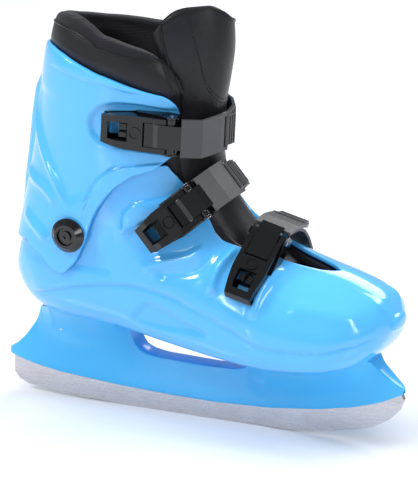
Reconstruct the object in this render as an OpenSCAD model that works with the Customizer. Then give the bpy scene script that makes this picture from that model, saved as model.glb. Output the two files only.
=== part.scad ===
// Ice skate for the right foot: a moulded foot shell with a hinged cuff, three lever buckles with
// toothed straps, a padded liner and a steel runner in a moulded holder.
// X points to the toe, Y to the left (the inner side of the foot) and Z up.
// The origin is on the ice, under the middle of the runner. Sizes are in millimetres.

/* [Runner] */
// Length of the steel runner
runner_length = 290; // [284:1:294]
// Thickness of the steel runner
runner_thickness = 3.6; // [3.2:0.1:3.8]
// Depth of the runner inside its slot
runner_inset = 7; // [6:0.5:8]

/* [Holder] */
// Half width of the holder's rail
rail_half_width = 7.5; // [6.5:0.5:8]
// Half width of the towers where they meet the sole
tower_half_width = 27; // [24:1:28]

/* [Boot] */
// Wall of the foot shell
shell_wall = 3.5; // [3:0.25:4]
// Wall of the cuff
cuff_wall = 3; // [2.5:0.25:3.25]
// Gap between the foot shell and the cuff
cuff_gap = 1.5; // [1.25:0.25:2]
// Thickness of the padded liner
liner_wall = 6; // [4:0.5:7]
// Thickness of the tongue
tongue_wall = 7; // [5:0.5:8]

/* [Cuff hinge] */
// Distance of the hinge behind the origin
hinge_back = 80; // [78:1:82]
// Height of the hinge above the ice
hinge_height = 131; // [129:1:133]
// Radius of the bushing that the cuff turns on
bushing_radius = 7; // [6:0.5:8]
// Radius of the round cap over the hinge
cap_radius = 11.75; // [11:0.25:13]

/* [Buckles] */
// Width of the strap head
strap_width = 26; // [24:1:27]
// Length of a lever from its pin to its free end
lever_length = 47.5; // [45:0.5:49]
// Radius of the lever pins
pin_radius = 1.5; // [1.2:0.1:1.6]
// Pitch of the teeth on the ladder straps
tooth_pitch = 4; // [3:0.5:5]

/* [Hidden] */

shell_blue = [0.10, 0.55, 0.95];
liner_black = [0.06, 0.06, 0.08];
strap_grey = [0.16, 0.16, 0.18];
buckle_black = [0.03, 0.03, 0.04];
steel = [0.72, 0.71, 0.74];

round_fn = 48;
hair = 0.05;

// The boot's base form is a row of cross sections, from the toe to the top of the cuff. Each one
// spans from a top (front) point to a bottom (back) point of the middle plane. Columns: top x, top z,
// bottom x, bottom z, half width, height of the widest level as a share of the span, roundness of the
// top half, roundness of the bottom half, sideways shift.
STATIONS = [
    [138, 92, 138, 80, 13, 0.45, 2.0, 2.2, 6],
    [131, 103, 132, 68, 29, 0.42, 2.0, 2.8, 5],
    [119, 110, 121, 59, 39, 0.38, 2.0, 3.2, 3.5],
    [104, 116, 106, 55, 45.5, 0.36, 2.0, 3.6, 1.5],
    [85, 121, 85, 53, 49, 0.36, 2.1, 4.0, 0],
    [65, 127, 58, 52, 50, 0.37, 2.2, 4.0, -1],
    [49, 134, 25, 54, 48, 0.40, 2.3, 4.0, -1],
    [37, 142, -15, 58, 45, 0.44, 2.4, 3.8, -0.5],
    [27, 153, -60, 63, 42, 0.48, 2.4, 3.4, 0],
    [19, 166, -100, 64, 40.5, 0.50, 2.4, 3.0, 0],
    [14, 178, -124, 72, 40, 0.50, 2.4, 2.6, 0],
    [12, 190, -136, 92, 40, 0.50, 2.4, 2.4, 0],
    [11, 202, -131, 122, 40, 0.50, 2.4, 2.3, 0],
    [9, 214, -124, 152, 40, 0.50, 2.4, 2.3, 0],
    [7, 226, -118, 182, 41, 0.50, 2.4, 2.3, 0],
    [4, 238, -113, 215, 42.5, 0.50, 2.4, 2.3, 0],
    [-1, 250, -108, 248, 44, 0.50, 2.4, 2.3, 0],
    [-4, 264, -104, 262, 42, 0.50, 2.4, 2.3, 0],
    [-6, 278, -101, 274, 39, 0.50, 2.4, 2.3, 0],
    [-8, 292, -98, 286, 36, 0.50, 2.4, 2.3, 0]
];
toe_tip = [141.5, 6, 86];

// How far round from the top each part's edge lies, in degrees, at a station
THROAT_EDGE = [[3.3, 0], [3.6, 8], [4, 11], [5, 15], [6, 23], [7, 33], [7.4, 38], [8.3, 36],
    [10, 38], [11, 45], [11.8, 52], [12, 62], [12.4, 100], [13, 145]];
CUFF_EDGE = [[11, 48], [11.9, 50], [12.4, 42], [13, 40], [15, 40], [16, 44]];
// The cuff's lower and upper edges: angle round from the front, then the station there
CUFF_LOW = [[40, 12.1], [52, 11.85], [68, 12.05], [76, 11.9], [83, 11.45], [88, 10.6], [96, 10.12],
    [105, 10.02], [110, 10.4], [114, 11.0], [130, 11.6], [180, 12.1]];
CUFF_TOP = [[40, 14.3], [45, 14.6], [52, 14.95], [70, 15.42], [95, 16], [118, 16.42], [135, 16.6],
    [150, 16.58], [180, 16.3]];
// The liner reaches up past the cuff, highest at the back and on the outer side. The angle goes all round.
COLLAR_TOP = [[34, 15.9], [40, 16.3], [50, 16.75], [60, 17], [75, 17.25], [90, 17.55], [102, 18],
    [115, 18.25], [130, 18.35], [150, 18.3], [180, 17.9], [200, 17.5], [230, 17.1], [270, 16.85], [326, 16.4]];
COLLAR_LOW = [[34, 12.6], [62, 12.75], [80, 12.9], [100, 13.1], [145, 13.35], [180, 13.35]];

// ---- Curves and solids from grids of points ----

function mix(a, b, t) = a + (b - a) * t;

function spline(v, s) =
    let (
        i = min(max(floor(s), 0), len(v) - 2),
        t = s - i,
        a = v[max(i - 1, 0)],
        b = v[i],
        c = v[i + 1],
        d = v[min(i + 2, len(v) - 1)]
    )
    0.5 * (2 * b + (c - a) * t + (2 * a - 5 * b + 4 * c - d) * t * t + (3 * b - a - 3 * c + d) * t * t * t);

function steps(a, b, n) = [for (i = [0:n]) mix(a, b, i / n)];

function power(x, p) = sign(x) * pow(abs(x), p);

// A point on the base form, moved out by off, at an angle from the section's top
function form(s, angle, off) =
    let (
        r = spline(STATIONS, s),
        top = [r[0], r[1]],
        bottom = [r[2], r[3]],
        span = norm(top - bottom),
        up = (top - bottom) / span,
        low = span * r[5],
        u = power(cos(angle), 2 / (cos(angle) > 0 ? r[6] : r[7])),
        v = power(sin(angle), 2 / (cos(angle) > 0 ? r[6] : r[7])),
        reach = (u > 0 ? span - low + off : low + off) * u,
        p = bottom + up * (low + reach)
    )
    [p[0], r[8] - v * (r[4] + off), p[1]];

// Faces of a closed solid between two grids of points, whose rows before first_open are closed rings
function grid_faces(rows, cols, first_open) =
    let (
        w = cols + 1,
        base = (rows + 1) * w,
        outer = [for (i = [0:rows - 1], j = [0:cols - 1]) each [
            [i * w + j, i * w + j + 1, (i + 1) * w + j + 1],
            [i * w + j, (i + 1) * w + j + 1, (i + 1) * w + j]]],
        inner = [for (f = outer) [f[0] + base, f[2] + base, f[1] + base]],
        last = rows * w,
        top_rim = [for (j = [0:cols - 1]) each [
            [last + j, last + j + 1, last + j + 1 + base],
            [last + j, last + j + 1 + base, last + j + base]]],
        side_rims = [for (i = [first_open:rows - 1]) each [
            [i * w, (i + 1) * w, (i + 1) * w + base],
            [i * w, (i + 1) * w + base, i * w + base],
            [i * w + cols, (i + 1) * w + cols + base, (i + 1) * w + cols],
            [i * w + cols, i * w + cols + base, (i + 1) * w + cols + base]]]
    )
    concat(outer, inner, top_rim, side_rims);

// The rim along the first row, for a sheet that doesn't close in a tip
function first_rim(rows, cols) =
    let (base = (rows + 1) * (cols + 1))
    [for (j = [0:cols - 1]) each [[j + 1, j, j + base], [j + 1, j + base, j + 1 + base]]];

// Faces that close the first rings of both grids onto two tip points, added after the grids
function tip_faces(rows, cols) =
    let (base = (rows + 1) * (cols + 1))
    [for (j = [0:cols - 1]) each [
        [j, 2 * base, j + 1],
        [j + base, j + 1 + base, 2 * base + 1]]];

module open_sheet(outer, inner) {
    rows = len(outer) - 1;
    cols = len(outer[0]) - 1;
    polyhedron(
        points = [for (r = outer) each r, for (r = inner) each r],
        faces = concat(grid_faces(rows, cols, 0), first_rim(rows, cols)));
}

module tipped_sheet(outer, inner, tips, first_open) {
    rows = len(outer) - 1;
    cols = len(outer[0]) - 1;
    polyhedron(
        points = [for (r = outer) each r, for (r = inner) each r, each tips],
        faces = concat(grid_faces(rows, cols, first_open), tip_faces(rows, cols)));
}

function folded(angle) = angle > 180 ? 360 - angle : angle;

// The liner's last rows, numbered from 100, rise from its top ring to a rim given by angle
LINER_RIM = [[33, 10.95], [52, 11.1], [70, 11.8], [100, 12.4], [145, 12.9], [180, 12.9]];
liner_top = 10.7;
function lifted(s, angle) =
    s < 100 ? s : mix(liner_top, lookup(folded(angle), LINER_RIM), s - 100);

// A ring of the base form from one edge angle round underneath to the other
function form_ring(s, edge, off, cols) = [for (a = steps(edge, 360 - edge, cols)) form(lifted(s, a), a, off)];

// ---- Runner and holder ----

// Height of the steel edge above the ice, and of the holder's lower edge, along the skate
RUNNER_EDGE = [[-143, 12], [-139, 7.5], [-132, 4.6], [-115, 2.6], [-94, 1.2], [-70, 0.3], [-50, 0], [40, 0],
    [60, 0.8], [80, 2.6], [95, 4.9], [110, 8], [125, 12.3], [136, 19], [143, 26], [146, 34]];
HOLDER_EDGE = [[-146, 25.5], [-125, 21.5], [-105, 18.5], [-60, 15.5], [-20, 14.2], [10, 14], [50, 15.8],
    [85, 20], [110, 25], [130, 31], [146, 38]];
// Top of the holder: the rear tower, the window's lower edge and the front tower
HOLDER_TOP = [[-146, 29], [-140, 33], [-132, 41], [-124, 52], [-117, 65], [-100, 64.5], [-58, 63.5],
    [-53, 62], [-50, 47], [-44, 42], [-32, 39.5], [8, 38.8], [24, 39.5], [33, 42], [38, 49], [40, 54],
    [44, 54], [60, 53], [85, 54], [108, 56], [124, 60], [130, 54], [138, 47], [146, 41]];
// Half width of the towers at the sole
TOWER_WIDTH = [[-120, 7.5], [-116, 14], [-108, 21], [-95, 26], [-84, 27], [-72, 26], [-60, 20],
    [-54, 13], [-50, 7.5], [36, 7.5], [40, 13], [48, 21], [62, 26], [82, 27], [100, 25], [112, 20],
    [121, 13], [127, 7.5]];
HOLDER_X = [-145.5, -143, -138, -132, -126, -121, -117, -112, -106, -98, -88, -78, -70, -64, -59, -55,
    -53, -51.5, -50, -47, -44, -38, -30, -18, -5, 8, 18, 26, 31, 34.5, 37, 38.5, 40, 42, 46, 52, 60, 70,
    82, 94, 104, 112, 118, 123, 128, 133, 138, 142, 145.5];

module runner_outline() {
    edge = [for (p = RUNNER_EDGE) [p[0] * runner_length / 290, p[1]]];
    top = [for (i = [len(HOLDER_X) - 1:-1:0])
        if (abs(HOLDER_X[i]) < runner_length / 2 - 1)
            [HOLDER_X[i], holder_low(HOLDER_X[i]) + slot_depth(HOLDER_X[i])]];
    polygon(concat(edge, top));
}

module side_plate(thickness) {
    rotate([90, 0, 0])
        linear_extrude(thickness, center = true)
            children();
}

tang_x = [-84, 82];
tang_top = 40;
tang_width = 22;
pocket_gap = 0.4;
nut_height = 30;

module runner() {
    color(steel)
        difference() {
            side_plate(runner_thickness)
                union() {
                    runner_outline();
                    for (x = tang_x)
                        translate([x - tang_width / 2, 12])
                            square([tang_width, tang_top - 12]);
                }
            for (x = tang_x)
                translate([x, 0, nut_height])
                    rotate([90, 0, 0])
                        cylinder(r = 5 + hair, h = 10, center = true, $fn = round_fn);
        }
}

// Height of the lowest point of the section that ends at x, and how far it has risen at y
SOLE = [for (s = [10.5:-0.25:0.5]) [spline(STATIONS, s)[2], s]];

function sole_rise(s, y) =
    let (
        r = spline(STATIONS, s),
        span = norm([r[0] - r[2], r[1] - r[3]]),
        v = min(abs(y - r[8]) / r[4], 0.98),
        rise = r[5] * (1 - pow(1 - pow(v, r[7]), 1 / r[7]))
    )
    [(r[0] - r[2]) * rise, r[3] + (r[1] - r[3]) * rise];

// Height of the sole's outer surface
function sole(x, y) = sole_rise(lookup(x - sole_rise(lookup(x, SOLE), y)[0], SOLE), y)[1];

function holder_low(x) = lookup(x, HOLDER_EDGE);
function holder_high(x) = max(lookup(x, HOLDER_TOP), holder_low(x) + 3);

// Depth of the runner in its slot, which gets shallow at the thin ends
function slot_depth(x) = min(runner_inset, holder_high(x) - holder_low(x) - 1.4);

sole_bite = 0.1;
crown_height = 3;
ring_nose = 0.3;
slot_lead = 0.15;

function holder_ring(x) =
    let (
        low = holder_low(x),
        nose = sqrt(max(1 - pow(max(abs(x) - 118, 0) / 29, 2), ring_nose)),
        rail = rail_half_width * nose,
        wide = max(lookup(x, TOWER_WIDTH) * tower_half_width / 27 * nose, rail),
        slot = runner_thickness / 2 + hair,
        slot_top = low + slot_depth(x) + hair,
        crown = crown_height * pow((wide - rail) / 20, 2),
        top = function (g) min(holder_high(x) + crown * g * g + 0.4 * (1 - g), sole(x, g * wide) + sole_bite),
        flare = [for (g = steps(0, 1, 5)) [rail + (wide - rail) * pow(g, 2.4), mix(low + 2, top(1), g)]],
        cap = [for (g = [0.7, 0.35]) [wide * g, top(g)]],
        side = concat([[slot, low + slot_lead], [rail * 0.78, low]], flare, cap),
        other = [for (i = [len(side) - 1:-1:0]) [-side[i][0], side[i][1]]]
    )
    [for (p = concat(side, [[0, top(0)]], other, [[-slot, slot_top], [slot, slot_top]])) [x, p[0], p[1]]];

module loft(rings) {
    n = len(rings[0]);
    rows = len(rings) - 1;
    polyhedron(
        points = [for (r = rings) each r],
        faces = concat(
            [[for (j = [0:n - 1]) j]],
            [for (i = [0:rows - 1], j = [0:n - 1]) each [
                [i * n + j, (i + 1) * n + j, (i + 1) * n + (j + 1) % n],
                [i * n + j, (i + 1) * n + (j + 1) % n, i * n + (j + 1) % n]]],
            [[for (j = [n - 1:-1:0]) rows * n + j]]));
}

module blade_holder() {
    color(shell_blue)
        difference() {
            loft([for (x = HOLDER_X) holder_ring(x)]);
            for (x = tang_x) {
                translate([x - tang_width / 2 - pocket_gap, -runner_thickness / 2 - pocket_gap, 20])
                    cube([tang_width + 2 * pocket_gap, runner_thickness + 2 * pocket_gap,
                        tang_top + pocket_gap - 20]);
                translate([x, 0, nut_height])
                    rotate([90, 0, 0])
                        cylinder(r = 5 + hair, h = 10, center = true, $fn = round_fn);
                translate([x, 0, nut_height])
                    cylinder(r = 2.6, h = 60, $fn = round_fn);
            }
            for (x = holder_screw_x, side = [-1, 1])
                translate([x, side * holder_screw_y, floor_height(x) - holder_screw_length(x) - 0.5])
                    cylinder(r = 2, h = 40, $fn = round_fn);
        }
}

module runner_nuts() {
    color(steel)
        for (x = tang_x)
            translate([x, 0, nut_height])
                rotate([90, 0, 0])
                    difference() {
                        cylinder(r = 5, h = 10, center = true, $fn = round_fn);
                        rotate([90, 0, 0])
                            cylinder(r = 2.5, h = 12, center = true, $fn = round_fn);
                    }
}

function floor_height(x) = x < 0 ? 67 : 57.5;

module screw(length, shank, head) {
    translate([0, 0, -length])
        cylinder(r = shank, h = length, $fn = round_fn);
    difference() {
        cylinder(r = head, h = 2.4, $fn = round_fn);
        translate([0, 0, 0.8])
            cylinder(r = shank * 0.75, h = 2, $fn = 6);
    }
}

module runner_bolts() {
    color(steel)
        for (x = tang_x)
            translate([x, 0, floor_height(x)])
                screw(floor_height(x) - nut_height + 3, 2.5, 4.5);
}

holder_screw_x = [-102, -66, 60, 98];
holder_screw_y = 11;

// The front tower is shallower, so its screws are shorter
function holder_screw_length(x) = x < 0 ? 16 : 10;

module holder_screws() {
    color(steel)
        for (x = holder_screw_x, side = [-1, 1])
            translate([x, side * holder_screw_y, floor_height(x)])
                screw(holder_screw_length(x), 2, 4);
}

// ---- Boot ----

toe_rows = [0, 0.25, 0.5, 0.8, 1.2, 1.6, 2, 2.5, 3];
throat_rows = [3.3, 3.6, 4, 4.4, 5, 5.5, 6, 6.5, 7, 7.4, 7.8, 8.3, 8.8, 9.4, 10, 10.5, 11, 11.4, 11.8, 12,
    12.2, 12.4, 12.7, 13];

// Near the toe an inner surface starts further back, so that it keeps its distance from the tip
function inner_station(s, off) = s + max(0, 1 - s / 3) * abs(off) / 8;

module foot_sheet(off, wall, rows, edges, cols) {
    tipped_sheet(
        [for (s = rows) form_ring(s, lookup(s, edges), off, cols)],
        [for (s = rows) form_ring(inner_station(s, off - wall), lookup(s, edges), off - wall, cols)],
        [toe_tip + [off, 0, 0], toe_tip + [off - wall - 0.5, 0, 0]],
        len(toe_rows));
}

module lower_shell() {
    color(shell_blue)
        difference() {
            foot_sheet(0, shell_wall, concat(toe_rows, throat_rows), THROAT_EDGE, 40);
            for (x = tang_x)
                translate([x, 0, nut_height])
                    cylinder(r = 2.6, h = 60, $fn = round_fn);
            for (x = holder_screw_x, side = [-1, 1])
                translate([x, side * holder_screw_y, 40])
                    cylinder(r = 2, h = 40, $fn = round_fn);
            translate([-hinge_back, 0, hinge_height])
                rotate([90, 0, 0])
                    cylinder(r = bushing_radius, h = 120, center = true, $fn = round_fn);
        }
}

cuff_rows = 16;
cuff_cols = 64;
cuff_in = cuff_gap;
cuff_out = cuff_gap + cuff_wall;
spine_height = 6;
SPINE = [[12.3, 0], [13.3, 0.75], [14.6, 1], [15.2, 0.9], [15.6, 0]];

// A sheet whose rows run between two edge lines that are given by angle
function band(low, top, edges, off, rows, cols) =
    [for (g = steps(0, 1, rows)) [for (c = steps(40, 320, cols))
        let (
            s = mix(lookup(folded(c), low), lookup(folded(c), top), g),
            front = lookup(s, edges),
            angle = 180 + (c - 180) * (180 - front) / 140
        )
        form(s, angle, off + spine(s, angle, off))]];

// The ridge down the back of the cuff's outer surface
function spine(s, angle, off) =
    off < cuff_out ? 0 : spine_height * max(0, 1 - pow((angle - 180) / 17, 4)) * lookup(s, SPINE);

module cuff() {
    color(shell_blue)
        difference() {
            open_sheet(
                band(CUFF_LOW, CUFF_TOP, CUFF_EDGE, cuff_out, cuff_rows, cuff_cols),
                band(CUFF_LOW, CUFF_TOP, CUFF_EDGE, cuff_in, cuff_rows, cuff_cols));
            translate([-hinge_back, 0, hinge_height])
                rotate([90, 0, 0])
                    cylinder(r = bushing_radius + 1.5, h = 120, center = true, $fn = round_fn);
        }
}

liner_gap = 0.6;
LINER_EDGE = [[3.3, 0], [3.6, 6], [4, 8], [5, 11], [6, 17], [7, 25], [8.3, 28], [10, 30], [11, 33],
    [101, 33]];
liner_rows = [3.3, 3.6, 4, 4.6, 5.2, 6, 6.8, 7.5, 8.3, 9, 9.6, 10.2, 10.7, 100.4, 100.7, 101];

module liner_foot() {
    color(liner_black)
        foot_sheet(-shell_wall - liner_gap, liner_wall, concat(toe_rows, liner_rows), LINER_EDGE, 28);
}

// How far out the collar lies, at a station and at a station above the cuff's top edge
COLLAR_OFFSET = [[13, -4.1], [14, -0.5], [14.6, 0.8], [15, 3.6]];
COLLAR_RISE = [[-0.2, 0.8], [0.3, 3.2], [1, 3.6], [2, 2]];

function collar_offset(s, angle) =
    min(lookup(s, COLLAR_OFFSET), lookup(s - lookup(folded(angle), CUFF_TOP), COLLAR_RISE));
COLLAR_FRONT = [[11, 36], [12, 34], [16, 34], [18, 38]];

function collar(inward) =
    [for (g = steps(0, 1, 12)) [for (c = steps(34, 326, 32))
        let (
            s = mix(lookup(folded(c), COLLAR_LOW), lookup(c, COLLAR_TOP), g),
            front = lookup(s, COLLAR_FRONT)
        )
        form(s, 180 + (c - 180) * (180 - front) / 146, collar_offset(s, c) - inward)]];

module liner_collar() {
    color(liner_black)
        open_sheet(collar(0), collar(liner_wall));
}

// Front line of the tongue in the middle plane, then how deep it wraps and its half width
TONGUE = [[70, 115, 8, 14], [59, 122, 9, 17], [46, 130, 11, 20], [34, 141, 14, 23], [22, 157, 18, 25],
    [13, 177, 22, 26], [11.5, 198, 26, 27], [13, 219, 30, 28], [16.5, 238, 34, 29], [19.5, 258, 38, 30],
    [20.5, 275, 41, 30], [18, 287, 40, 28]];

function tongue_point(s, angle, inward) =
    let (
        r = spline(TONGUE, s),
        ahead = spline(TONGUE, min(s + 0.3, len(TONGUE) - 1)),
        behind = spline(TONGUE, max(s - 0.3, 0)),
        along = [ahead[0] - behind[0], ahead[1] - behind[1]],
        back = [-along[1], along[0]] / norm(along),
        depth = inward + (r[2] - inward) * (1 - cos(angle))
    )
    [r[0] + back[0] * depth, (r[3] - inward * 0.6) * sin(angle), r[1] + back[1] * depth];

module tongue_piece(s0, s1, rows) {
    open_sheet(
        [for (s = steps(s0, s1, rows)) [for (a = steps(88, -88, 14)) tongue_point(s, a, 0)]],
        [for (s = steps(s0, s1, rows)) [for (a = steps(88, -88, 14)) tongue_point(s, a, tongue_wall)]]);
}

module tongue_lower() {
    color(liner_black)
        tongue_piece(0.3, 4.9, 9);
}

module tongue_upper() {
    color(liner_black)
        tongue_piece(5.75, 11, 9);
}

module footbed() {
    color([0.2, 0.2, 0.22])
        open_sheet(
            [for (s = steps(1.5, 9.6, 14)) form_ring(inner_station(s, 10), 130, -10.4, 12)],
            [for (s = steps(1.5, 9.6, 14)) form_ring(inner_station(s, 10), 130, -13, 12)]);
}

// ---- Cuff hinge ----

hinge_face = 44.6;
bushing_in = 37;

module at_hinges() {
    for (side = [-1, 1])
        translate([-hinge_back, side * bushing_in, hinge_height])
            rotate([-90 * side, 0, 0])
                children();
}

module pivot_bushings() {
    color(buckle_black)
        at_hinges()
            difference() {
                cylinder(r = bushing_radius, h = hinge_face + 0.6 - bushing_in, $fn = round_fn);
                translate([0, 0, -1])
                    cylinder(r = 3.1, h = 20, $fn = round_fn);
            }
}

module cuff_eyelets() {
    color(shell_blue)
        at_hinges()
            translate([0, 0, hinge_face - bushing_in - 2.8])
                difference() {
                    cylinder(r = bushing_radius + 3, h = 2.8, $fn = round_fn);
                    translate([0, 0, -1])
                        cylinder(r = bushing_radius + hair, h = 5, $fn = round_fn);
                }
}

module pivot_nuts() {
    color(steel)
        at_hinges()
            difference() {
                union() {
                    translate([0, 0, -2])
                        cylinder(r = 8, h = 1.5, $fn = round_fn);
                    translate([0, 0, -0.5])
                        cylinder(r = 3, h = 5, $fn = round_fn);
                }
                translate([0, 0, -3])
                    cylinder(r = 2, h = 10, $fn = round_fn);
            }
}

module pivot_caps() {
    color(buckle_black)
        at_hinges()
            translate([0, 0, hinge_face + 0.7 - bushing_in])
                rotate_extrude($fn = 96)
                    polygon([[2.2, 0], [cap_radius, 0], [cap_radius, 1.2], [cap_radius - 3.6, 4.8],
                        [6.2, 4.8], [5.6, 3.2], [2.2, 3.2]]);
}

module pivot_screws() {
    color(steel)
        at_hinges()
            difference() {
                union() {
                    translate([0, 0, -1])
                        cylinder(r = 2, h = hinge_face - bushing_in + 5, $fn = round_fn);
                    translate([0, 0, hinge_face - bushing_in + 3.9])
                        cylinder(r = 3.6, h = 1.4, $fn = round_fn);
                }
                translate([0, 0, hinge_face - bushing_in + 4.4])
                    cylinder(r = 1.5, h = 2, $fn = 6);
            }
}

// ---- Buckles ----
// Each buckle works in a plane that holds Y and a line tilted up from X. In that plane the lever's pin
// sits at pin, the lever leans in by lean degrees, and negative Y is outward. Columns: centre, tilt, pin,
// lean, arm outline, ladder outline, screw, base depth.

pin_drop = 4.8;
link_pin = [-11, -1.2];
link_pin_radius = 1.2;
wall_half = 13.4;
slot_back = 18.5;
slot_half = 8.5;
window_length = 12.5;
window_half = 5.5;
window_flare = 1.6;
ring_place = -23.9;

module in_plane(centre, tilt) {
    translate(centre)
        rotate([0, -tilt, 0])
            children();
}

module at_pin(b) {
    in_plane(b[0], b[1])
        translate([b[2][0], b[2][1], 0])
            rotate([0, 0, b[3]])
                children();
}

module across(width) {
    linear_extrude(width, center = true)
        children();
}

// A strip of constant thickness along a path
module strip(path, thickness) {
    n = len(path) - 1;
    function step(i) = path[min(i + 1, n)] - path[max(i - 1, 0)];
    function way(i) = step(i) / norm(step(i));
    function side(i, d) = path[i] + [-way(i)[1], way(i)[0]] * d;
    polygon(concat(
        [for (i = [0:n]) side(i, thickness / 2)],
        [for (i = [n:-1:0]) side(i, -thickness / 2)]));
}

catch_back = -35.6;
catch_half = 4.6;

module base_plan() {
    polygon([[-lever_length - 2, -9.6], [-lever_length - 2, 9.6], [-27, 12.6], [-24, wall_half],
        [8, wall_half], [8, -wall_half], [-24, -wall_half], [-27, -12.6]]);
}

module base(b) {
    color(buckle_black)
        at_pin(b)
            difference() {
                union() {
                    intersection() {
                        across(2 * wall_half)
                            polygon(concat([[-lever_length + 0.6, pin_drop], [6, pin_drop]], b[7]));
                        rotate([90, 0, 0])
                            across(60)
                                base_plan();
                    }
                    translate([catch_back, -0.5, -catch_half])
                        cube([5, pin_drop + 1, 2 * catch_half]);
                    for (side = [-1, 1])
                        translate([0, 0, side * (wall_half - 0.6)])
                            across(1.2) {
                                polygon([[-25.5, pin_drop + 0.5], [-24, 1.5], [-14, 0.5], [-5, -2], [5, -2],
                                    [6, pin_drop + 0.5]]);
                                circle(r = 4.6, $fn = round_fn);
                            }
                }
                translate([-lever_length + 3.8, pin_drop - 1, -catch_half])
                    cube([7, 12, 2 * catch_half]);
                translate([catch_back - 1, -1, -1.2])
                    cube([7, 3, 2.4]);
                cylinder(r = pin_radius, h = 40, center = true, $fn = round_fn);
            }
}

module rivets(b) {
    color(steel)
        at_pin(b)
            for (x = [-27, -17])
                translate([x, pin_drop + 3, 0])
                    rotate([90, 0, 0])
                        cylinder(r = 2.6, h = 3.6, $fn = round_fn);
}

module lever_side() {
    polygon([[-lever_length, 3.4], [-lever_length - 0.8, 1.5], [-lever_length, -0.8],
        [-lever_length + 4, -2.4], [-38, -3.8], [-20, -4.6], [-3, -4.8], [0, 0], [0, 3.4]]);
    circle(r = 4.4, $fn = round_fn);
}

module lever_plan() {
    polygon([[-lever_length - 2, -9], [-lever_length - 2, 9], [-30, 11.9], [6, 11.9],
        [6, -11.9], [-30, -11.9]]);
}

// The window's walls slope out towards the lever's outer face
module lever_window() {
    back = -lever_length + 5;
    front = back + window_length;
    translate([back, -3, -window_half])
        cube([window_length, 12, 2 * window_half]);
    intersection() {
        across(30)
            polygon([[back, -1.8], [back - window_flare, -5.6], [front + window_flare, -5.6], [front, -1.8]]);
        translate([back - 5, 0, 0])
            rotate([0, 90, 0])
                linear_extrude(window_length + 10)
                    polygon([[-window_half, -1.8], [-window_half - window_flare, -5.6],
                        [window_half + window_flare, -5.6], [window_half, -1.8]]);
    }
}

module lever(b) {
    color(buckle_black)
        at_pin(b)
            difference() {
                union() {
                    intersection() {
                        across(24)
                            lever_side();
                        rotate([90, 0, 0])
                            across(30)
                                lever_plan();
                    }
                    translate([ring_place, -4, 0])
                        rotate([90, 0, 0])
                            difference() {
                                cylinder(r = 4.3, h = 1.1, $fn = round_fn);
                                cylinder(r = 3.4, h = 2, $fn = round_fn);
                            }
                }
                translate([-lever_length + 5, -1.8, -slot_half])
                    cube([lever_length - 5 - slot_back, 9, 2 * slot_half]);
                lever_window();
                translate([-slot_back, -7, -slot_half])
                    cube([slot_back + 6, 14, 2 * slot_half]);
                cylinder(r = pin_radius + hair, h = 40, center = true, $fn = round_fn);
                translate(link_pin)
                    cylinder(r = link_pin_radius, h = 40, center = true, $fn = round_fn);
            }
}

module lever_pin(b) {
    color(steel)
        at_pin(b)
            cylinder(r = pin_radius, h = 2 * wall_half + 0.8, center = true, $fn = round_fn);
}

module link_pin_rod(b) {
    color(steel)
        at_pin(b)
            translate(link_pin)
                cylinder(r = link_pin_radius, h = 22, center = true, $fn = round_fn);
}

// The link's tail fills the lever's slot when the lever is closed
link_path = [[-17.4, -3.5], [-11.5, -3.3], [-8, -4], [4.4, -4.3], [8.6, -3.2]];
link_width = 16.2;
link_thickness = 2;
link_eye = 2.5;

module link(b) {
    color(buckle_black)
        at_pin(b)
            difference() {
                union() {
                    across(link_width)
                        strip(link_path, link_thickness);
                    translate(link_pin)
                        cylinder(r = link_eye, h = link_width, center = true, $fn = round_fn);
                }
                translate(link_pin)
                    cylinder(r = link_pin_radius + hair, h = 2 * link_width, center = true, $fn = round_fn);
            }
}

arm_thickness = 2.4;
pawl_pin = [3.6, -0.2];

module arm(b) {
    color(strap_grey)
        difference() {
            union() {
                in_plane(b[0], b[1])
                    across(strap_width)
                        strip(b[4], arm_thickness);
                pawl_at(b)
                    for (side = [-1, 1])
                        translate([0, 0, side * (strap_width / 2 - 1.2)])
                            across(2.4) {
                                translate([-3, -arm_thickness / 2])
                                    square([3 + pawl_pin[0], arm_thickness]);
                                translate(pawl_pin)
                                    circle(r = 1.6, $fn = round_fn);
                            }
            }
            pawl_at(b)
                translate(pawl_pin)
                    cylinder(r = 0.8, h = 40, center = true, $fn = round_fn);
        }
}

module pawl_at(b) {
    n = len(b[4]) - 1;
    tip = b[4][n];
    way = tip - b[4][n - 1];
    in_plane(b[0], b[1])
        translate([tip[0], tip[1], 0])
            rotate([0, 0, atan2(way[1], way[0])])
                children();
}

module pawl(b) {
    color(strap_grey)
        pawl_at(b)
            difference() {
                across(strap_width - 6) {
                    translate([1.6, -1.5])
                        square([11, 2.4]);
                    for (i = [0:2])
                        translate([6 + i * 2.4, -2.1])
                            square([1.2, 1]);
                    translate(pawl_pin)
                        circle(r = 1.9, $fn = round_fn);
                }
                translate(pawl_pin)
                    cylinder(r = 0.8 + hair, h = 40, center = true, $fn = round_fn);
            }
}

module pawl_pin_rod(b) {
    color(steel)
        pawl_at(b)
            translate(pawl_pin)
                cylinder(r = 0.8, h = strap_width, center = true, $fn = round_fn);
}

ladder_thickness = 2;
tooth_height = 0.9;
toothed_spans = 4;

// Saw teeth on the outer face, along the first spans of a ladder's path
module teeth(path) {
    for (k = [0:toothed_spans - 1]) {
        way = path[k + 1] - path[k];
        count = floor(norm(way) / tooth_pitch);
        for (i = [0:count - 1])
            translate(path[k] + way * (i + 0.5) / count)
                rotate(atan2(way[1], way[0]))
                    translate([0, -ladder_thickness / 2])
                        polygon([[-1.4, 0.3], [1.2, 0.3], [1.2, -tooth_height + 0.3], [0.8, -tooth_height]]);
    }
}

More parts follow.
